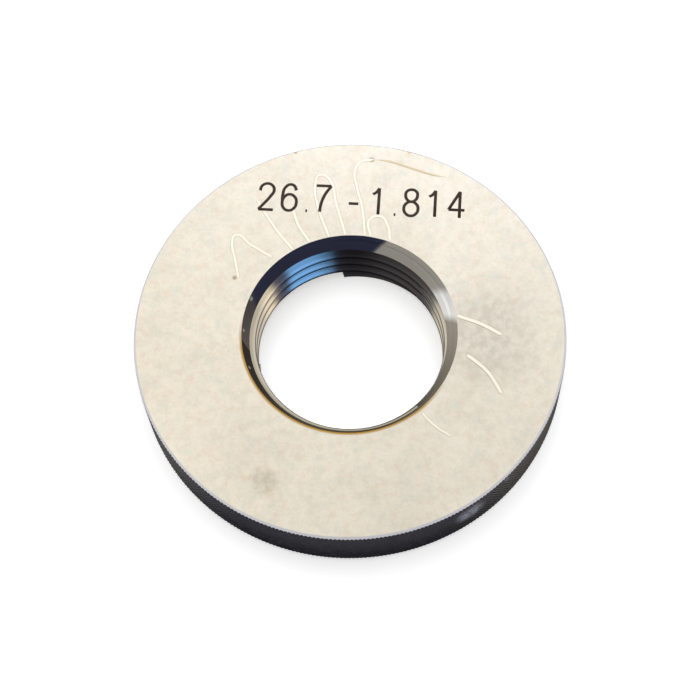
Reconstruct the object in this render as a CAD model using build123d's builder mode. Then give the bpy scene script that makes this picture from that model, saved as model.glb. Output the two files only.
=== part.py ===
from build123d import *
from math import atan, cos, degrees, radians, tan
import os

os.makedirs("parts", exist_ok=True)

# A thread ring gauge for tapered pipe thread, all sizes in millimetres.
# The ring lies on its small-end face: Z = 0 is that face, and +Z is the thread's axis.

# Ring blank
ring_diameter = 53.98
ring_height = 8.61  # the gauging length: both faces are gauging planes
top_edge_chamfer = 0.35  # around the marked, large-end face
base_edge_chamfer = 1.0  # around the small-end face

# Tapered pipe thread, right-hand, 14 threads to the inch
thread_pitch = 25.4 / 14
thread_angle = 60  # included angle of the vee
diameter_taper = 1 / 16  # change of diameter along the axis
pitch_diameter = 25.117  # at the large-end face
crest_truncation = 0.1 * thread_pitch  # cut off each sharp crest
root_truncation = 0.1 * thread_pitch  # left in each sharp root

# Mouth of the bore, on the large end
mouth_width = 1.5  # of the lead-in cone across the face, out from the crests
mouth_angle = 60  # included angle of the lead-in

# First turn at the small end, cleared over an arc so that the thread ends in a blunt step
thread_end_angle = 91  # where the ridge breaks off, from +X
thread_end_arc = 89  # cleared arc, on from the break
thread_end_depth = 1.0  # cleared height above the small-end face
thread_end_clearance = 0.05  # cleared past the root of the thread
end_crest_drop = 0.14  # the last crest's middle lies this far under the face at the break

# Cutting tools: how far they reach inwards past the crests, and their run-out past the faces
tool_overreach = 0.4
tool_runout = 1.0 * thread_pitch

# Radii of the thread's cones at a height above the small-end face
half_flank = radians(thread_angle / 2)
sharp_height = thread_pitch / (2 * tan(half_flank))
radius_taper = diameter_taper / 2
cone_angle = degrees(atan(radius_taper))


def pitch_radius(height):
    return pitch_diameter / 2 - (ring_height - height) * radius_taper


def crest_radius(height):
    return pitch_radius(height) - sharp_height / 2 + crest_truncation


def root_radius(height):
    return pitch_radius(height) + sharp_height / 2 - root_truncation


# The groove starts on +X, far enough below the small-end face to be clear of it, and its
# phase puts a crest end_crest_drop below that face at thread_end_angle.
groove_phase = -end_crest_drop - thread_pitch * (0.5 + thread_end_angle / 360)
groove_start = groove_phase
while groove_start > -tool_runout / 2:
    groove_start -= thread_pitch
groove_length = ring_height + tool_runout - groove_start

# Groove profile about the pitch line. Its flanks run on past the crests by what the cone
# gains over a pitch, so that each flank meets the bore in one clean edge.
flank_overrun = thread_pitch * radius_taper
root_half_width = root_truncation * tan(half_flank)
groove_root = sharp_height / 2 - root_truncation
flank_end = -sharp_height / 2 + crest_truncation - flank_overrun
flank_end_half_width = thread_pitch / 2 - (crest_truncation - flank_overrun) * tan(half_flank)

# Mouth cone: from the face down to the crests
ring_radius = ring_diameter / 2
mouth_radius = crest_radius(ring_height) + mouth_width
mouth_depth = mouth_width / (tan(radians(mouth_angle / 2)) - radius_taper)

with BuildPart() as gauge_ring:
    # Turned blank with its tapered bore at the crests' cone
    with BuildSketch(Plane.XZ):
        with BuildLine():
            Polyline(
                (crest_radius(0), 0),
                (ring_radius, 0),
                (ring_radius, ring_height),
                (mouth_radius, ring_height),
                (crest_radius(ring_height - mouth_depth), ring_height - mouth_depth),
                close=True,
            )
        make_face()
    revolve(axis=Axis.Z)
    rim_edges = gauge_ring.edges().filter_by(GeomType.CIRCLE).group_by(SortBy.RADIUS)[-1]
    chamfer(rim_edges.sort_by(Axis.Z)[-1], top_edge_chamfer)
    rim_edges = gauge_ring.edges().filter_by(GeomType.CIRCLE).group_by(SortBy.RADIUS)[-1]
    chamfer(rim_edges.sort_by(Axis.Z)[0], base_edge_chamfer)

    # Thread groove: one vee carried up a conical helix, through both faces
    with BuildLine() as groove_path:
        Helix(
            pitch=thread_pitch / cos(radians(cone_angle)),
            height=groove_length,
            radius=pitch_radius(groove_start),
            center=(0, 0, groove_start),
            cone_angle=cone_angle,
        )
    groove_plane = Plane(
        origin=(pitch_radius(groove_start), 0, groove_start), x_dir=(1, 0, 0), z_dir=(0, -1, 0)
    )
    with BuildSketch(groove_plane):
        with BuildLine():
            Polyline(
                (flank_end - tool_overreach, -flank_end_half_width),
                (flank_end, -flank_end_half_width),
                (groove_root, -root_half_width),
                (groove_root, root_half_width),
                (flank_end, flank_end_half_width),
                (flank_end - tool_overreach, flank_end_half_width),
                close=True,
            )
        make_face()
    sweep(path=groove_path.wires()[0], is_frenet=True, mode=Mode.SUBTRACT)

    # Blunt end of the thread: a short arc of the last turn is cleared down to its root
    end_plane = Plane(
        origin=(0, 0, 0),
        x_dir=Vector(1, 0, 0).rotate(Axis.Z, thread_end_angle),
        z_dir=Vector(0, -1, 0).rotate(Axis.Z, thread_end_angle),
    )
    with BuildSketch(end_plane):
        with BuildLine():
            Polyline(
                (crest_radius(0) - tool_overreach, -tool_runout),
                (root_radius(0) + thread_end_clearance, -tool_runout),
                (root_radius(0) + thread_end_clearance, thread_end_depth),
                (crest_radius(0) - tool_overreach, thread_end_depth),
                close=True,
            )
        make_face()
    revolve(axis=Axis.Z, revolution_arc=thread_end_arc, mode=Mode.SUBTRACT)

gauge_ring.part.label = "gauge_ring"
export_step(gauge_ring.part, "parts/gauge_ring.step")
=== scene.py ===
from math import atan2, ceil, cos, pi, radians, sin, tan

import bmesh
import bpy
from mathutils import Matrix, Vector


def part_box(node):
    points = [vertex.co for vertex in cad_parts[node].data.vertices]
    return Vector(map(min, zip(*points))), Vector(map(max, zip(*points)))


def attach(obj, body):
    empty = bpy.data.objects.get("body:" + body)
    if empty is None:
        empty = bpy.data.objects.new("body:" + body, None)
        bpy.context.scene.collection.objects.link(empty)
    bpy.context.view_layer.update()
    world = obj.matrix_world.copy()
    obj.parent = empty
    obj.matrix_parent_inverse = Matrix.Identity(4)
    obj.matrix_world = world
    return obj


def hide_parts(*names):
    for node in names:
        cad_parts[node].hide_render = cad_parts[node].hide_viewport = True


# Thread ring gauge for tapered pipe thread: the ring with its knurled rim, the marking on the
# large-end face and the dried oil on it. Shapes are drawn in millimetres, in the frame's axes,
# and placeShape brings them to metres.

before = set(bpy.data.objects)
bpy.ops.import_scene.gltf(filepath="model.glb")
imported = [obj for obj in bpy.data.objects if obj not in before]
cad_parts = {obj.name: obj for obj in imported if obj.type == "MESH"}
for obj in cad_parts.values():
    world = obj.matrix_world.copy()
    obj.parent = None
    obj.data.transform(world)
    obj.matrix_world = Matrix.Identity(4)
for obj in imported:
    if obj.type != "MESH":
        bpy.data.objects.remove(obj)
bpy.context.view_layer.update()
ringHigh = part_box("gauge_ring")[1]
mm = 0.001
weld = 1e-4  # in millimetres: points nearer than this become one
print("frame loaded")


def linearColour(hexCode):  # sRGB hex to the linear values that a shader takes
    channels = [int(hexCode[i : i + 2], 16) / 255 for i in (1, 3, 5)]
    return [c / 12.92 if c <= 0.04045 else ((c + 0.055) / 1.055) ** 2.4 for c in channels] + [1]


def fillSockets(tree, node, values):  # each value: a number, a colour or an output to link
    for socket, value in values.items():
        if isinstance(value, bpy.types.NodeSocket):
            tree.links.new(value, node.inputs[socket])
        else:
            node.inputs[socket].default_value = value


def addNode(tree, kind, values, take=0, **settings):  # gives the output to link onwards
    node = tree.nodes.new("ShaderNode" + kind)
    for name, value in settings.items():
        setattr(node, name, value)
    fillSockets(tree, node, values)
    return node.outputs[take]


def startMaterial(name):
    material = bpy.data.materials.new(name)
    material.use_nodes = True
    tree = material.node_tree
    return material, tree, tree.nodes["Principled BSDF"]


def placeStops(ramp, stops):  # stops of a colour ramp in order: (position, sRGB hex)
    elements = ramp.node.color_ramp.elements
    elements.remove(elements[1])
    for number, (position, colour) in enumerate(stops):
        stop = elements.new(position) if number else elements[0]
        stop.position = position
        stop.color = linearColour(colour)


def placeShape(name, shape):  # a bmesh in millimetres, used up here, becomes an object in metres
    mesh = bpy.data.meshes.new(name)
    shape.to_mesh(mesh)
    shape.free()
    mesh.transform(Matrix.Scale(mm, 4))
    placed = bpy.data.objects.new(name, mesh)
    bpy.context.scene.collection.objects.link(placed)
    return placed


def finishPiece(name, shape, *materials):  # a piece of the gauge itself
    bmesh.ops.recalc_face_normals(shape, faces=shape.faces)
    piece = placeShape(name, shape)
    for material in materials:
        piece.data.materials.append(material)
    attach(piece, "root")
    return piece


# Ring: one piece of hardened steel

ringSize = {
    "radius": ringHigh.x / mm,
    "height": ringHigh.z / mm,
    "topEdge": 0.35,  # chamfer beside the marked face
    "baseEdge": 1.0,  # chamfer beside the small-end face
    "steps": 360,  # around the ring
    "spare": 0.4,  # stock outside the rim, which the knurled roll trims
    "boreSide": 18,  # faces nearer the axis than this are the bore's
    "coneFrom": 6,  # height above which a face that leans like the mouth cone is part of it
    "mouthFrom": 7,  # height above which the groove has the mouth's finish too
    "endSkin": 0.01,  # the lapped faces lie within this of the ends
    "softUpTo": radians(12),  # edges that turn more than this stay sharp
}
thread = {
    "pitch": 25.4 / 14,
    "halfAngle": radians(30),
    "taper": 1 / 32,  # on the radius
    "pitchRadius": 25.117 / 2,  # at the marked face
    "crestCut": 0.1,  # of the pitch
    "rootCut": 0.1,  # of the pitch
    "mouthWidth": 1.5,
    "mouthHalfAngle": radians(30),
    "endAngle": radians(91),  # the ridge at the small end breaks off here
    "endArc": radians(89),
    "endSteps": 89,
    "endDepth": 1.0,
    "endClearance": 0.05,
    "endCrestDrop": 0.14,
    "reach": 0.4,  # of the cutting shapes, inwards past the crests
}
knurl = {
    "pitch": 0.5,  # around the rim, from diamond to diamond
    "angle": radians(30),  # of the grooves to the axis
    "depth": 0.11,
    "tip": 0.06,  # flat on each diamond
    "inset": 0.01,  # of the tips, inside the blank's radius
    "spareRows": 2,  # of diamonds, past each face
}


def threadRadius(height, offset):  # offset: out from the pitch line
    drop = (ringSize["height"] - height) * thread["taper"]
    return thread["pitchRadius"] - drop + offset


vee = thread["pitch"] / (2 * tan(thread["halfAngle"]))  # height of the sharp vee
crest = -vee / 2 + thread["crestCut"] * thread["pitch"]
root = vee / 2 - thread["rootCut"] * thread["pitch"]


def closedOutline(shape, points):  # points: (radius, height)
    corners = [shape.verts.new((radius, 0, height)) for radius, height in points]
    edges = [shape.edges.new(pair) for pair in zip(corners, corners[1:] + corners[:1])]
    return corners, edges


def turnAround(shape, geometry, steps, angle=2 * pi, rise=0, merge=True):
    bmesh.ops.spin(
        shape,
        geom=geometry,
        cent=(0, 0, 0),
        axis=(0, 0, 1),
        dvec=(0, 0, rise / steps),
        angle=angle,
        steps=steps,
        use_merge=merge,
    )


def tidyShape(shape):
    bmesh.ops.remove_doubles(shape, verts=shape.verts, dist=weld)
    bmesh.ops.recalc_face_normals(shape, faces=shape.faces)
    return shape


def turnedBlank():
    shape = bmesh.new()
    size = ringSize
    top = size["height"]
    outside = size["radius"] + size["spare"]
    faceEdge = size["radius"] - size["topEdge"]
    baseEdge = size["radius"] - size["baseEdge"]
    mouthEdge = threadRadius(top, crest) + thread["mouthWidth"]
    mouthDepth = thread["mouthWidth"] / (tan(thread["mouthHalfAngle"]) - thread["taper"])
    outline = [
        (threadRadius(0, crest), 0),
        (baseEdge, 0),
        (outside, outside - baseEdge),
        (outside, top - (outside - faceEdge)),
        (faceEdge, top),
        (mouthEdge, top),
        (threadRadius(top - mouthDepth, crest), top - mouthDepth),
    ]
    corners, edges = closedOutline(shape, outline)
    turnAround(shape, corners + edges, size["steps"])
    return tidyShape(shape)


def knurledRoll():
    shape = bmesh.new()
    tips = ringSize["radius"] - knurl["inset"]
    columns = 2 * round(2 * pi * tips / knurl["pitch"])
    row = knurl["pitch"] / tan(knurl["angle"]) / 2
    start = -knurl["spareRows"] * row
    rows = ceil((ringSize["height"] - 2 * start) / row)
    column = [shape.verts.new((tips, 0, start + row * k)) for k in range(rows + 1)]
    edges = [shape.edges.new(pair) for pair in zip(column, column[1:])]
    turnAround(shape, column + edges, columns)
    bmesh.ops.remove_doubles(shape, verts=shape.verts, dist=weld)
    peaks = []
    for vert in shape.verts:  # every other point of the grid is where two grooves cross
        across = round(atan2(vert.co.y, vert.co.x) * columns / (2 * pi))
        up = round((vert.co.z - start) / row)
        if (across + up) % 2 == 0:
            vert.co.xy *= (tips - knurl["depth"]) / tips
        elif not vert.is_boundary:
            peaks.append(vert)
    bmesh.ops.triangulate(shape, faces=shape.faces, quad_method="SHORT_EDGE")
    bmesh.ops.bevel(
        shape,
        geom=peaks,
        offset=knurl["tip"],
        affect="VERTICES",
        segments=1,
        profile=0.5,
        material=-1,
    )
    bmesh.ops.holes_fill(shape, edges=[e for e in shape.edges if e.is_boundary], sides=0)
    return tidyShape(shape)


def threadGroove():
    shape = bmesh.new()
    pitch = thread["pitch"]
    steps = ringSize["steps"]
    phase = -thread["endCrestDrop"] - pitch * (0.5 + thread["endAngle"] / (2 * pi))
    start = phase - pitch * ceil((phase + pitch / 2) / pitch)
    turns = ceil((ringSize["height"] + pitch / 2 - start) / pitch)
    overrun = pitch * thread["taper"]  # keeps the flanks going a little past the crests
    rootHalf = thread["rootCut"] * pitch * tan(thread["halfAngle"])
    innerHalf = pitch / 2 - (thread["crestCut"] * pitch - overrun) * tan(thread["halfAngle"])
    profile = [
        (crest - overrun - thread["reach"], -innerHalf),
        (crest - overrun, -innerHalf),
        (root, -rootHalf),
        (root, rootHalf),
        (crest - overrun, innerHalf),
        (crest - overrun - thread["reach"], innerHalf),
    ]
    outline = [(threadRadius(0, offset), start + height) for offset, height in profile]
    corners, edges = closedOutline(shape, outline)
    turnAround(shape, corners + edges, steps, rise=pitch, merge=False)
    turn = shape.verts[:] + shape.edges[:] + shape.faces[:]
    for k in range(1, turns):
        copy = bmesh.ops.duplicate(shape, geom=turn)["geom"]
        points = [item for item in copy if isinstance(item, bmesh.types.BMVert)]
        bmesh.ops.translate(shape, verts=points, vec=(0, 0, pitch * k))
    bmesh.ops.remove_doubles(shape, verts=shape.verts, dist=weld)
    bmesh.ops.holes_fill(shape, edges=[e for e in shape.edges if e.is_boundary], sides=0)
    for vert in shape.verts:  # the cone: each point moves out with its height
        radius = vert.co.xy.length
        vert.co.xy *= (radius + vert.co.z * thread["taper"]) / radius
    return tidyShape(shape)


def threadEnd():  # clears the last turn at the small end, which leaves a blunt step
    shape = bmesh.new()
    inner = threadRadius(0, crest) - thread["reach"]
    outer = threadRadius(0, root) + thread["endClearance"]
    low = -thread["pitch"]
    high = thread["endDepth"]
    corners, edges = closedOutline(shape, [(inner, low), (outer, low), (outer, high), (inner, high)])
    face = shape.faces.new(corners)
    turnAround(shape, corners + edges + [face], thread["endSteps"], angle=thread["endArc"], merge=False)
    bmesh.ops.rotate(
        shape, verts=shape.verts, cent=(0, 0, 0), matrix=Matrix.Rotation(thread["endAngle"], 3, "Z")
    )
    return tidyShape(shape)


def cutWith(blank, operation, tool):  # tool: a bmesh, used up here
    meshes = [bpy.data.meshes.new(name) for name in ("blank", "tool")]
    pieces = []
    for mesh, shape in zip(meshes, (blank, tool)):
        shape.to_mesh(mesh)
        shape.free()
        pieces.append(bpy.data.objects.new(mesh.name, mesh))
        bpy.context.scene.collection.objects.link(pieces[-1])
    modifier = pieces[0].modifiers.new("cut", "BOOLEAN")
    modifier.operation = operation
    modifier.object = pieces[1]
    modifier.solver = "EXACT"
    graph = bpy.context.evaluated_depsgraph_get()
    result = bmesh.new()
    result.from_object(pieces[0], graph)
    for piece in pieces:
        bpy.data.objects.remove(piece)
    bmesh.ops.remove_doubles(result, verts=result.verts, dist=weld)
    return result


def makeRing(materials):
    shape = cutWith(turnedBlank(), "DIFFERENCE", threadGroove())
    shape = cutWith(shape, "DIFFERENCE", threadEnd())
    shape = cutWith(shape, "INTERSECT", knurledRoll())
    slots = {name: index for index, name in enumerate(materials)}
    size = ringSize
    flat, alike = 0.999, 0.02  # limits on a normal's rise: a level face, and one cut to an angle
    for face in shape.faces:
        centre = face.calc_center_median()
        rise = face.normal.z
        inBore = centre.xy.length < size["boreSide"]
        atEnd = not size["endSkin"] < centre.z < size["height"] - size["endSkin"]
        onFace = abs(rise) > flat and atEnd
        if onFace:
            slot = "lapped"
        elif inBore:
            leans = abs(rise - sin(thread["mouthHalfAngle"])) < alike
            onCone = leans and centre.z > size["coneFrom"]
            slot = "mouth" if onCone or centre.z > size["mouthFrom"] else "thread"
        else:
            slot = "edge" if abs(rise - cos(radians(45))) < alike else "blackened"
        face.material_index = slots[slot]
    ring = finishPiece("ring", shape, *materials.values())
    ring.data.set_sharp_from_angle(angle=size["softUpTo"])
    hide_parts("gauge_ring")
    return ring


# Finishes

soft = {"interpolation_type": "SMOOTHSTEP"}  # of a Map Range
colourMix = {"data_type": "RGBA", "take": 2}  # sockets 0, 6 and 7 are its factor and colours


def millimetres(tree):  # where a point is on the ring
    place = addNode(tree, "TexCoord", {}, take="Object")
    return addNode(tree, "Mapping", {"Vector": place, "Scale": (1 / mm,) * 3})


def spotMask(tree, place, centre, radius, edge):  # 1 inside a stain, 0 past its soft edge
    away = addNode(tree, "VectorMath", {0: place, 1: centre}, take="Value", operation="DISTANCE")
    return addNode(tree, "MapRange", {0: away, 1: radius, 2: radius + edge, 3: 1, 4: 0}, **soft)


def distanceOut(tree, place):  # from the ring's axis
    flat = addNode(tree, "VectorMath", {0: place, 1: (1, 1, 0)}, operation="MULTIPLY")
    return addNode(tree, "VectorMath", {0: flat}, take="Value", operation="LENGTH")


def angleAround(tree, place):  # degrees from +X, -180 to 180
    across = addNode(tree, "SeparateXYZ", {0: place}, take="X")
    along = addNode(tree, "SeparateXYZ", {0: place}, take="Y")
    angle = addNode(tree, "Math", {0: along, 1: across}, operation="ARCTAN2")
    return addNode(tree, "Math", {0: angle}, operation="DEGREES")


# Lapped tool steel: a flat, fine matt face with no grain, clouded by old oil
lapped = {
    "steel": "#EBE3D2",
    "warm": "#E4D5C0",
    "cool": "#DADACB",
    "grime": "#6E675A",
    "cloud": 9.0,  # width of the oil's clouds
    "blotch": 1.1,  # width of the lapping compound's blotches
    "grain": 0.35,  # the grit is finer, and is drawn coarse enough to show
    "roughness": 0.36,
    "stains": [  # centre, radius, soft edge, colour and strength
        ((-11.4, -18.9), 0.4, 2.0, "#A39C80", 0.5),
        ((16.6, -2.0), 1.5, 8.0, "#B4AFA2", 0.5),
        ((-14.0, 8.5), 0.08, 0.35, "#8A7350", 0.7),
        ((-5.4, 26.1), 0.1, 0.3, "#8A6A40", 0.9),
        ((9.3, 25.0), 0.08, 0.3, "#A08860", 0.6),
        ((4.35, 24.2), 0.22, 0.25, "#8F7C58", 0.9),
    ],
    "mouthStain": (176, 318),  # degrees, where oil dried brown along the mouth
    "mouthStainFade": 3,  # how softly its two ends fade
    "mouthStainWidth": (0.08, 0.42),  # out from the mouth: full up to the first, gone at the second
    "mouthStainColour": "#B0883A",
}


def lappedSteel():
    material, tree, shader = startMaterial("LappedToolSteel")
    place = millimetres(tree)
    top = ringSize["height"]
    noise = {"Vector": place, "Detail": 3, "Roughness": 0.6}
    clouds = addNode(tree, "TexNoise", noise | {"Scale": 1 / lapped["cloud"], "Detail": 4})
    blotch = addNode(tree, "TexNoise", noise | {"Scale": 1 / lapped["blotch"]})
    grain = addNode(tree, "TexNoise", noise | {"Scale": 1 / lapped["grain"], "Detail": 1})
    drift = addNode(tree, "Mapping", {"Vector": place, "Location": (31, 17, 5)})
    coolScale = 0.7 / lapped["blotch"]
    coolBlotch = addNode(tree, "TexNoise", noise | {"Vector": drift, "Scale": coolScale})
    steel, warm, cool, grime = (
        linearColour(lapped[name]) for name in ("steel", "warm", "cool", "grime")
    )
    share = addNode(tree, "MapRange", {0: blotch, 1: 0.42, 2: 0.72, 3: 0, 4: 0.65}, **soft)
    tone = addNode(tree, "Mix", {0: share, 6: steel, 7: warm}, **colourMix)
    share = addNode(tree, "MapRange", {0: coolBlotch, 1: 0.45, 2: 0.75, 3: 0, 4: 0.65}, **soft)
    tone = addNode(tree, "Mix", {0: share, 6: tone, 7: cool}, **colourMix)
    cloudShade = addNode(tree, "MapRange", {0: clouds, 1: 0.3, 2: 0.7, 3: 0, 4: 0.09}, **soft)
    grainShade = addNode(tree, "MapRange", {0: grain, 1: 0.3, 2: 0.7, 3: 0, 4: 0.06}, **soft)
    share = addNode(tree, "Math", {0: cloudShade, 1: grainShade}, operation="ADD")
    tone = addNode(tree, "Mix", {0: share, 6: tone, 7: grime}, **colourMix)
    for (x, y), radius, edge, colour, strength in lapped["stains"]:
        mask = spotMask(tree, place, (x, y, top), radius, edge)
        patchy = {0: blotch, 1: 0.35, 2: 0.6, 3: strength / 2, 4: strength}
        share = addNode(tree, "MapRange", patchy, **soft)
        share = addNode(tree, "Math", {0: mask, 1: share}, operation="MULTIPLY")
        tone = addNode(tree, "Mix", {0: share, 6: tone, 7: linearColour(colour)}, **colourMix)
    mouthEdge = threadRadius(top, crest) + thread["mouthWidth"]
    full, gone = (mouthEdge + width for width in lapped["mouthStainWidth"])
    nearMouth = {0: distanceOut(tree, place), 1: full, 2: gone, 3: 1, 4: 0}
    band = addNode(tree, "MapRange", nearMouth, **soft)
    start, end = (radians(limit) for limit in lapped["mouthStain"])
    middle = (start + end) / 2
    towards = {0: place, 1: (cos(middle), sin(middle), 0)}
    side = addNode(tree, "VectorMath", towards, take="Value", operation="DOT_PRODUCT")
    limit = mouthEdge * cos((end - start) / 2)
    fade = lapped["mouthStainFade"]
    side = addNode(tree, "MapRange", {0: side, 1: limit - fade, 2: limit + fade}, **soft)
    height = addNode(tree, "SeparateXYZ", {0: place}, take="Z")
    above = addNode(tree, "MapRange", {0: height, 1: top / 2, 2: top})
    side = addNode(tree, "Math", {0: above, 1: side}, operation="MULTIPLY")
    share = addNode(tree, "Math", {0: band, 1: side}, operation="MULTIPLY")
    stain = linearColour(lapped["mouthStainColour"])
    tone = addNode(tree, "Mix", {0: share, 6: tone, 7: stain}, **colourMix)
    level = lapped["roughness"]
    rough = {0: clouds, 1: 0.3, 2: 0.7, 3: level - 0.04, 4: level + 0.04}
    roughness = addNode(tree, "MapRange", rough, **soft)
    fillSockets(tree, shader, {"Base Color": tone, "Roughness": roughness, "Metallic": 1})
    return material


# Edge break beside the marked face: ground bare after blackening, a dull bluish grey
def groundEdge():
    material, tree, shader = startMaterial("GroundEdgeSteel")
    grey = linearColour("#D3D3DA")
    fillSockets(tree, shader, {"Base Color": grey, "Metallic": 0.3, "Roughness": 0.45})
    return material


# Black oxide over knurled steel: charcoal with paler worn blotches, with painted shade that darkens it
# towards the bottom and painted highlights on the near side
blackened = {
    # painted shade: the rim goes from the first colour at the top to the darker one at the bottom
    "top": "#36363F",
    "shadedBottom": "#1A1C25",
    "bare": "#4C4C5A",
    "line": "#101013",  # thick oxide just under the edge break
    "lineHeights": (7.95, 8.1),
    "wear": 0.9,  # width of the worn blotches
    # painted highlights: pale bluish patches on the near side of the rim, at the places below
    "paintedShadeAndHighlight": "#8A8C98",
    "paintedHighlightPlaces": [((13.2, -23.7, 5.4), 0.7, 2.0, 0.8), ((17.8, -20.3, 7.2), 0.15, 0.45, 1)],
}


def blackOxide():
    material, tree, shader = startMaterial("BlackOxideSteelPaintedShadeAndHighlights")
    place = millimetres(tree)
    height = addNode(tree, "SeparateXYZ", {0: place}, take="Z")
    shadedBottom, top, bare, line, paintedShadeAndHighlight = (
        linearColour(blackened[name]) for name in ("shadedBottom", "top", "bare", "line", "paintedShadeAndHighlight")
    )
    # painted shade: darker towards the bottom
    share = addNode(tree, "MapRange", {0: height, 1: 1.0, 2: 7.5}, **soft)
    tone = addNode(tree, "Mix", {0: share, 6: shadedBottom, 7: top}, **colourMix)
    noise = {"Vector": place, "Scale": 1 / blackened["wear"], "Detail": 3, "Roughness": 0.65}
    wear = addNode(tree, "TexNoise", noise)
    share = addNode(tree, "MapRange", {0: wear, 1: 0.45, 2: 0.75, 3: 0, 4: 0.3}, **soft)
    tone = addNode(tree, "Mix", {0: share, 6: tone, 7: bare}, **colourMix)
    low, high = blackened["lineHeights"]
    share = addNode(tree, "MapRange", {0: height, 1: low, 2: high, 3: 0, 4: 0.9}, **soft)
    tone = addNode(tree, "Mix", {0: share, 6: tone, 7: line}, **colourMix)
    # painted highlights at the given places
    for centre, radius, edge, strength in blackened["paintedHighlightPlaces"]:
        mask = spotMask(tree, place, centre, radius, edge)
        share = addNode(tree, "MapRange", {0: wear, 1: 0.35, 2: 0.55, 3: 0.3, 4: strength}, **soft)
        share = addNode(tree, "Math", {0: mask, 1: share}, operation="MULTIPLY")
        tone = addNode(tree, "Mix", {0: share, 6: tone, 7: paintedShadeAndHighlight}, **colourMix)
    fillSockets(tree, shader, {"Base Color": tone, "Roughness": 0.45, "Specular IOR Level": 0.35})
    return material


# Ground thread flanks: bright, with painted shade along the crests and painted shade and reflection
# towards the roots
groundFlank = {
    "bright": "#DAD7D2",
    # painted shade and reflection: the flanks darker towards the roots
    "paintedShadeAndReflection": "#B0ACA6",
    "rootShadeFrom": (0.26, 0.5),  # out from the crests
    # painted shade: the flanks darker along the crests
    "paintedShadeAndHighlight": "#5C5A5A",
    "crestShadeTo": (0.05, 0.14),
}


def groundThread():
    material, tree, shader = startMaterial("GroundThreadSteelPaintedShade")
    place = millimetres(tree)
    height = addNode(tree, "SeparateXYZ", {0: place}, take="Z")
    taper = addNode(tree, "Math", {0: height, 1: -thread["taper"]}, operation="MULTIPLY")
    out = addNode(tree, "Math", {0: distanceOut(tree, place), 1: taper}, operation="ADD")
    crestLine = threadRadius(0, crest)
    bright, paintedShadeAndReflection, paintedShadeAndHighlight = (linearColour(groundFlank[name]) for name in ("bright", "paintedShadeAndReflection", "paintedShadeAndHighlight"))
    # painted shade and reflection towards the roots
    low, high = (crestLine + offset for offset in groundFlank["rootShadeFrom"])
    share = addNode(tree, "MapRange", {0: out, 1: low, 2: high, 3: 0, 4: 0.6}, **soft)
    tone = addNode(tree, "Mix", {0: share, 6: bright, 7: paintedShadeAndReflection}, **colourMix)
    # painted shade along the crests
    low, high = (crestLine + offset for offset in groundFlank["crestShadeTo"])
    share = addNode(tree, "MapRange", {0: out, 1: low, 2: high, 3: 0.85, 4: 0}, **soft)
    tone = addNode(tree, "Mix", {0: share, 6: tone, 7: paintedShadeAndHighlight}, **colourMix)
    fillSockets(tree, shader, {"Base Color": tone, "Metallic": 1, "Roughness": 0.12})
    return material


# Ground mouth cone: smooth steel with nicks, coloured with painted reflections. Their tones follow the
# angle around the bore, because a cone this steep mirrors the wall opposite and not the room: painted
# dark over the back and the left, pale on the right, with a painted white highlight.
mouthCone = {
    "paintedShadeAndReflection": [  # degrees from +X, and the colour of the painted reflection there
        (-150, "#0C0A07"),
        (-75, "#0C0A07"),
        (-40, "#6A6359"),
        (0, "#A09A90"),
        (5, "#FFFFFF"),
        (18, "#FFFFFF"),
        (23, "#B6B2A9"),
        (64.5, "#B6B2A9"),
        (66.5, "#34374D"),
        (150, "#34374D"),
        (154, "#565050"),
        (176, "#565050"),
        (182, "#0C0A07"),
    ],
    "lean": 3.3,  # degrees that the painted reflection's edges lean over in each millimetre down
    "metallic": 0.3,
    "roughness": 0.22,
    "specular": 0.15,
    "nickEdge": 0.25,  # how softly a nick ends
    "nicks": [((-12.3, 5.7, 8.1), 0.28), ((-13.0, 1.3, 8.3), 0.1), ((-12.5, -3.7, 8.2), 0.1)],
    "nick": "#B8BCC0",
}


def groundMouth():
    material, tree, shader = startMaterial("GroundMouthSteelPaintedReflections")
    place = millimetres(tree)
    height = addNode(tree, "SeparateXYZ", {0: place}, take="Z")
    lean = {0: height, 1: ringSize["height"], 2: 0, 3: 0, 4: -mouthCone["lean"] * ringSize["height"]}
    lean = addNode(tree, "MapRange", lean)
    angle = addNode(tree, "Math", {0: angleAround(tree, place), 1: lean}, operation="ADD")
    turn = addNode(tree, "Math", {0: angle, 1: 1 / 360, 2: 0.5}, operation="MULTIPLY_ADD")
    turn = addNode(tree, "Math", {0: turn}, operation="FRACT")
    # painted reflections and painted highlight, set by the angle around the bore
    tone = addNode(tree, "ValToRGB", {0: turn})
    paintedShadeAndReflection = [((degrees + 180) % 360 / 360, colour) for degrees, colour in mouthCone["paintedShadeAndReflection"]]
    placeStops(tone, sorted(paintedShadeAndReflection))
    for centre, radius in mouthCone["nicks"]:
        share = spotMask(tree, place, centre, radius, mouthCone["nickEdge"])
        colours = {6: tone, 7: linearColour(mouthCone["nick"])}
        tone = addNode(tree, "Mix", {0: share} | colours, **colourMix)
    finish = {
        "Metallic": mouthCone["metallic"],
        "Roughness": mouthCone["roughness"],
        "Specular IOR Level": mouthCone["specular"],
    }
    fillSockets(tree, shader, {"Base Color": tone} | finish)
    return material


ring = makeRing(
    {
        "lapped": lappedSteel(),
        "edge": groundEdge(),
        "blackened": blackOxide(),
        "thread": groundThread(),
        "mouth": groundMouth(),
    }
)
print("ring made:", len(ring.data.polygons), "faces")


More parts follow.
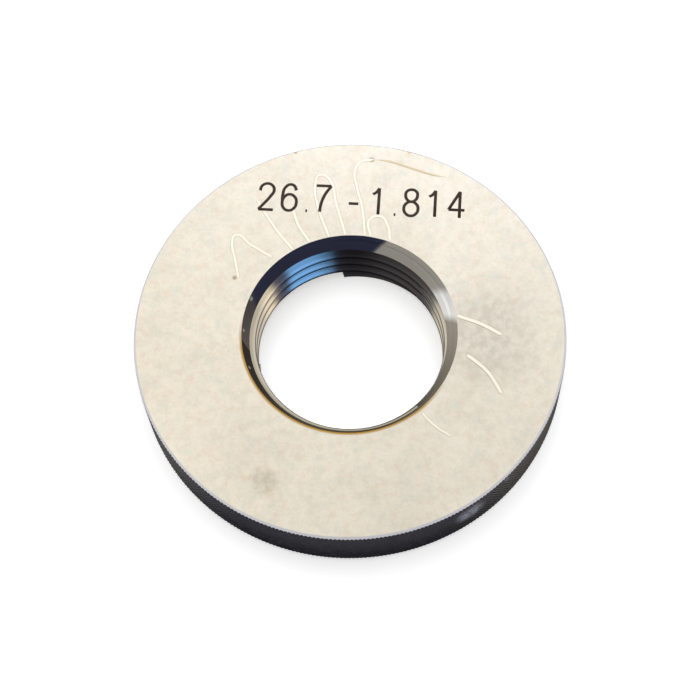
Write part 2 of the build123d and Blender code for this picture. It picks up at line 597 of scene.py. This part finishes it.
def drawStrokes(strokes, width, crestHeight, sink, closed=(), endWidth=1):  # beads on the marked face
    curve = bpy.data.curves.new("strokes", "CURVE")
    curve.dimensions = "3D"
    curve.bevel_depth = width / 2
    curve.bevel_resolution = 2
    curve.resolution_u = 8
    curve.use_fill_caps = True
    for number, points in enumerate(strokes):
        spline = curve.splines.new("BEZIER")
        spline.bezier_points.add(len(points) - 1)
        for knot, (x, y) in zip(spline.bezier_points, points):
            knot.co = (x, y, 0)
            straight = len(points) == 2
            knot.handle_left_type = knot.handle_right_type = "VECTOR" if straight else "AUTO"
        spline.bezier_points[0].radius = spline.bezier_points[-1].radius = endWidth
        spline.use_cyclic_u = number in closed
    holder = bpy.data.objects.new("strokes", curve)
    bpy.context.scene.collection.objects.link(holder)
    graph = bpy.context.evaluated_depsgraph_get()
    shape = bmesh.new()
    shape.from_mesh(bpy.data.meshes.new_from_object(holder.evaluated_get(graph)))
    bpy.data.objects.remove(holder)
    bmesh.ops.remove_doubles(shape, verts=shape.verts, dist=weld / 10)
    bmesh.ops.scale(shape, verts=shape.verts, vec=(1, 1, (crestHeight + sink) / width))
    middle = ringSize["height"] + (crestHeight - sink) / 2
    bmesh.ops.translate(shape, verts=shape.verts, vec=(0, 0, middle))
    return shape


# Marking: plain numbers, the pipe's outside diameter and the pitch in millimetres

marking = {
    "text": "26.7 - 1.814",
    "height": 3.8,  # of the figures
    "stroke": 0.4,
    "advance": 2.92,  # from one figure to the next
    "stopAdvance": 1.4,
    "spaceAdvance": 1.35,
    "centre": 18.5,  # from the ring's axis
    "turn": -7.2,  # degrees about the ring's axis, from +Y
    "shift": 0.7,  # to the right, along the line
    "lift": 0.012,  # over the dried oil
    "depth": 0.004,
    "bowlKnots": 8,  # a stroke with so many knots is a closed bowl, as in 6 and 8
    "colour": "#382920",
}
figures = {  # strokes of each figure, in a cell 0.58 wide and 1 high
    "1": [[(0.13, 0.76), (0.25, 0.85), (0.34, 1.0)], [(0.34, 1.0), (0.34, 0)]],
    "2": [
        [(0.05, 0.72), (0.1, 0.9), (0.29, 1.0), (0.48, 0.9), (0.52, 0.72), (0.42, 0.52), (0.04, 0.0)],
        [(0.04, 0.0), (0.54, 0.0)],
    ],
    "4": [[(0.4, 0), (0.4, 1.0)], [(0.4, 1.0), (0.03, 0.3)], [(0.03, 0.3), (0.57, 0.3)]],
    "6": [
        [(0.51, 0.78), (0.44, 0.94), (0.3, 1.0), (0.13, 0.88), (0.06, 0.6), (0.06, 0.35)],
        [
            (0.06, 0.3), (0.14, 0.54), (0.3, 0.62), (0.47, 0.53),
            (0.54, 0.31), (0.46, 0.08), (0.3, 0.0), (0.13, 0.08),
        ],
    ],
    "7": [[(0.05, 1.0), (0.55, 1.0)], [(0.55, 1.0), (0.36, 0.68), (0.25, 0.34), (0.21, 0.0)]],
    "8": [
        [
            (0.3, 1.0), (0.46, 0.93), (0.5, 0.77), (0.43, 0.6),
            (0.3, 0.54), (0.17, 0.6), (0.1, 0.77), (0.14, 0.93),
        ],
        [
            (0.3, 0.54), (0.47, 0.46), (0.54, 0.27), (0.46, 0.07),
            (0.3, 0.0), (0.14, 0.07), (0.06, 0.27), (0.13, 0.46),
        ],
    ],
    ".": [[(0.1, 0.02), (0.16, 0.02)]],
    "-": [[(0.05, 0.37), (0.38, 0.37)]],
}


# Laser mark: the steel burnt dark brown, dull
def laserMark():
    material, tree, shader = startMaterial("LaserMark")
    burnt = {"Base Color": linearColour(marking["colour"]), "Roughness": 0.65}
    fillSockets(tree, shader, burnt | {"Specular IOR Level": 0.3})
    return material


def makeMarking():
    size = marking
    strokes, closed, cursor = [], [], 0
    for letter in size["text"]:
        if letter == " ":
            cursor += size["spaceAdvance"]
            continue
        for points in figures[letter]:
            if len(points) == size["bowlKnots"]:
                closed.append(len(strokes))
            strokes.append([(cursor + x * size["height"], y * size["height"]) for x, y in points])
        cursor += size["stopAdvance"] if letter in ".-" else size["advance"]
    shape = drawStrokes(strokes, size["stroke"], size["lift"], size["depth"], closed)
    offset = (size["shift"] - cursor / 2, size["centre"] - size["height"] / 2, 0)
    bmesh.ops.translate(shape, verts=shape.verts, vec=offset)
    turn = Matrix.Rotation(radians(size["turn"]), 3, "Z")
    bmesh.ops.rotate(shape, verts=shape.verts, cent=(0, 0, 0), matrix=turn)
    return finishPiece("marking", shape, laserMark())


makeMarking()
print("marking made")


# Oil that ran from the bore over the marked face and dried: (angle, radius) along each run

lip = 13.74  # radius where most runs start, just outside the mouth
oilRuns = {
    "height": 0.004,
    "tip": 0.3,  # length of a run's pointed ends
    "endWidth": 0.1,  # of a point's end, as a share of the run's width
    "runs": {  # by their width
        0.4: [
            [(118.5, lip), (119.5, 17.0), (118.9, 22.0)],
            [(108.6, lip), (110.0, 16.4), (109.2, 18.8)],
            [
                (97.7, lip), (99.4, 18.2), (98.4, 21.4), (96.2, 22.6),
                (93.4, 21.8), (91.9, 18.2), (88.8, lip),
            ],
            [(78.3, lip), (81.3, 17.7), (83.8, 20.4), (84.6, 23.0), (82.5, 24.3), (79.7, 24.6)],
            [(75.2, lip), (77.3, 15.7), (73.0, 16.6), (68.0, 15.5), (64.8, 13.9)],
            [(130.0, 14.6), (132.2, 17.6), (133.3, 20.0), (136.2, 19.6), (140.9, 17.9), (147.3, 16.1)],
            [(305.4, 14.3), (305.8, 16.4), (307.5, 18.4)],
        ],
        0.55: [
            [(4.6, lip), (359.4, 16.4), (354.8, 18.7)],
            [(343.2, 15.1), (338.4, 17.8), (332.3, 20.3)],
        ],
    },
    "edge": "#E6DDCB",
    "middle": "#F5EDDD",
    "stainHeight": 0.005,
    "stain": {  # browner oil, as (x, y), by its width
        0.3: [[(4.6, 24.2), (6.6, 23.8), (9.7, 22.4), (12.0, 21.4), (13.9, 20.8)]],
    },
    "stainEdge": "#DCD0B8",
    "stainMiddle": "#D4C4A2",
}


# Dried oil: a clear skin on the steel, its middle a little brighter than the face around it
def driedOil(name, edge, middle, height):
    material, tree, shader = startMaterial(name)
    place = millimetres(tree)
    level = addNode(tree, "SeparateXYZ", {0: place}, take="Z")
    face = ringSize["height"]
    share = addNode(tree, "MapRange", {0: level, 1: face, 2: face + height * 0.6}, **soft)
    ends = {6: linearColour(oilRuns[edge]), 7: linearColour(oilRuns[middle])}
    tone = addNode(tree, "Mix", {0: share} | ends, **colourMix)
    fillSockets(tree, shader, {"Base Color": tone, "Metallic": 1, "Roughness": 0.4})
    return material


def layOil(name, runs, height, material):
    skin = bmesh.new()
    for width, strokes in runs.items():
        part = drawStrokes(strokes, width, height, height, endWidth=oilRuns["endWidth"])
        mesh = bpy.data.meshes.new("part")
        part.to_mesh(mesh)
        part.free()
        skin.from_mesh(mesh)
    return finishPiece(name, skin, material)


def makeOilRuns():
    size = oilRuns
    runs = {}
    for width, group in size["runs"].items():
        runs[width] = []
        for run in group:
            points = [Matrix.Rotation(radians(turn), 2) @ Vector((out, 0)) for turn, out in run]
            first = (points[0] - points[1]).normalized() * size["tip"]
            last = (points[-1] - points[-2]).normalized() * size["tip"]
            runs[width].append([points[0] + first, *points, points[-1] + last])
    clear = driedOil("DriedOilOnSteel", "edge", "middle", size["height"])
    layOil("oil_runs", runs, size["height"], clear)
    brown = driedOil("BrownOilOnSteel", "stainEdge", "stainMiddle", size["stainHeight"])
    layOil("oil_stain", size["stain"], size["stainHeight"], brown)


makeOilRuns()
print("oil runs made")


# Studio

camera = {
    "target": (-0.08, -2.5),  # where the camera's axis meets the marked face
    "distance": 218.98,
    "turn": 0.05,  # degrees off the face's centre line
    "elevation": 66.31,
    "roll": -3.88,
    "lens": 91.01,
    "sensor": 36,
    "clip": 0.01,  # in metres: nothing nearer is seen
}


def placeCamera():
    data = bpy.data.cameras.new("camera")
    data.lens = camera["lens"]
    data.sensor_width = camera["sensor"]
    data.clip_start = camera["clip"]
    view = bpy.data.objects.new("camera", data)
    bpy.context.scene.collection.objects.link(view)
    turn, elevation = radians(camera["turn"]), radians(camera["elevation"])
    away = Vector((sin(turn) * cos(elevation), -cos(turn) * cos(elevation), sin(elevation)))
    target = Vector((*camera["target"], ringSize["height"]))
    view.location = (target + away * camera["distance"]) * mm
    level = (-away).to_track_quat("-Z", "Y").to_matrix()
    roll = Matrix.Rotation(radians(camera["roll"]), 3, "Z")
    view.rotation_euler = (level @ roll).to_euler()
    bpy.context.scene.camera = view


# Pale board: matt and near white, with a little glow of its own so that its shadow stays soft
floorBoard = {
    "half": 3000,  # of its width
    "drop": 0.05,  # under the ring, so that their faces aren't in one plane
    "colour": "#F8F8F8",
    "roughness": 0.9,
    "glow": 0.45,
}


def layFloor():
    shape = bmesh.new()
    bmesh.ops.create_grid(shape, x_segments=1, y_segments=1, size=floorBoard["half"])
    bmesh.ops.translate(shape, verts=shape.verts, vec=(0, 0, -floorBoard["drop"]))
    floor = placeShape("floor", shape)
    material, tree, shader = startMaterial("PaleBoard")
    white = linearColour(floorBoard["colour"])
    fillSockets(tree, shader, {"Base Color": white, "Roughness": floorBoard["roughness"]})
    fillSockets(tree, shader, {"Emission Color": white, "Emission Strength": floorBoard["glow"]})
    below = addNode(tree, "NewGeometry", {}, take="Backfacing")  # clear from below
    clear = addNode(tree, "BsdfTransparent", {})
    board = addNode(tree, "MixShader", {0: below, 1: shader.outputs[0], 2: clear})
    fillSockets(tree, tree.nodes["Material Output"], {"Surface": board})
    floor.data.materials.append(material)
    floor.visible_glossy = False  # the bore mirrors the room's walls instead


# Room that is seen only in reflections, in four tiers from under the bench to the windows.
# Each stop: (degrees from the camera's side towards +X, colour)

room = {
    "radius": 900,
    "sides": 72,
    "strength": 1.3,
    "tiers": {
        "lower": {
            "heights": (-2500, -400),
            "stops": [
                (-180, "#6B675C"),
                (-140, "#A39D8C"),
                (-124, "#D8D2CC"),
                (-108, "#D8D2CC"),
                (-96, "#26252A"),
                (78, "#26252A"),
                (90, "#D9CDB6"),
                (110, "#D9CDB6"),
                (140, "#8C8678"),
                (180, "#6B675C"),
            ],
        },
        "bench": {
            "heights": (-400, 350),
            "stops": [
                (-180, "#CBC4B4"),
                (-60, "#B9B3A6"),
                (0, "#A39E94"),
                (60, "#B9B3A6"),
                (180, "#CBC4B4"),
            ],
        },
        "wall": {
            "heights": (350, 800),
            "stops": [
                (-180, "#D8D1C2"),
                (-60, "#C9C2B4"),
                (0, "#8F8A82"),
                (60, "#C9C2B4"),
                (180, "#D8D1C2"),
            ],
        },
        "window": {
            "heights": (800, 1400),
            "stops": [
                (-180, "#33343A"),
                (-150, "#45444A"),
                (-136, "#A8A290"),
                (-124, "#F8F2EE"),  # pale wall
                (-110, "#F8F2EE"),
                (-98, "#504E4F"),
                (-66, "#444244"),
                (-20, "#3A383C"),
                (13, "#3E3B41"),
                (19, "#6E9FD2"),  # window with the sky in it
                (32, "#7DBAFA"),
                (60, "#7DBAFA"),
                (65, "#4A4E62"),
                (76, "#4A4E62"),
                (83, "#F8E9CD"),  # wall in warm light
                (104, "#FFF5E5"),
                (120, "#BDB2A0"),
                (145, "#8C8678"),
                (160, "#33343A"),
                (180, "#33343A"),
            ],
        },
    },
}


def raiseTier(name, tier):
    shape = bmesh.new()
    ends = [shape.verts.new((room["radius"], 0, height)) for height in tier["heights"]]
    edge = shape.edges.new(ends)
    turnAround(shape, ends + [edge], room["sides"])
    piece = placeShape(name, tidyShape(shape))
    material, tree, shader = startMaterial("Painted" + name.capitalize())
    tree.nodes.remove(shader)
    place = addNode(tree, "TexCoord", {}, take="Object")
    across = addNode(tree, "SeparateXYZ", {0: place}, take="X")
    back = addNode(tree, "SeparateXYZ", {0: place}, take="Y")
    front = addNode(tree, "Math", {0: back, 1: -1}, operation="MULTIPLY")
    around = addNode(tree, "Math", {0: across, 1: front}, operation="ARCTAN2")
    around = addNode(tree, "MapRange", {0: around, 1: -pi, 2: pi})
    ramp = addNode(tree, "ValToRGB", {0: around})
    placeStops(ramp, [(degrees / 360 + 0.5, colour) for degrees, colour in tier["stops"]])
    glow = addNode(tree, "Emission", {"Color": ramp, "Strength": room["strength"]})
    fillSockets(tree, tree.nodes["Material Output"], {"Surface": glow})
    piece.data.materials.append(material)
    piece.visible_camera = False
    piece.visible_diffuse = False
    piece.visible_shadow = False


# Soft panels: name, centre, size, power in watts, colour and the point that each one faces

lights = [
    ("overhead", (0, 400, 600), (700, 960), 1.97, "#FFFFFF", (0, 400, 0)),
    ("left", (-300, 260, 600), (200, 400), 0.18, "#FFF6E6", (0, 0, 0)),
    ("back", (120, 690, 700), (500, 300), 1.1, "#DDE6FF", (0, 0, 0)),
]
background = {"colour": "#F4F4F4", "strength": 0.8}


def addLight(name, centre, size, power, colour, aim):
    data = bpy.data.lights.new(name, "AREA")
    data.shape = "RECTANGLE"
    data.size, data.size_y = (side * mm for side in size)
    data.energy = power
    data.color = linearColour(colour)[:3]
    light = bpy.data.objects.new(name, data)
    bpy.context.scene.collection.objects.link(light)
    light.location = Vector(centre) * mm
    light.rotation_euler = (Vector(centre) - Vector(aim)).to_track_quat("Z", "Y").to_euler()
    light.visible_camera = False


def lightStudio():
    world = bpy.data.worlds.new("studio")
    bpy.context.scene.world = world
    world.use_nodes = True
    tree = world.node_tree
    sky = {"Color": linearColour(background["colour"]), "Strength": background["strength"]}
    fillSockets(tree, tree.nodes["Background"], sky)
    world.cycles_visibility.glossy = False
    for light in lights:
        addLight(*light)


placeCamera()
layFloor()
for tierName, tier in room["tiers"].items():
    raiseTier(tierName, tier)
lightStudio()
bpy.context.scene.view_settings.view_transform = "Standard"
print("studio set")
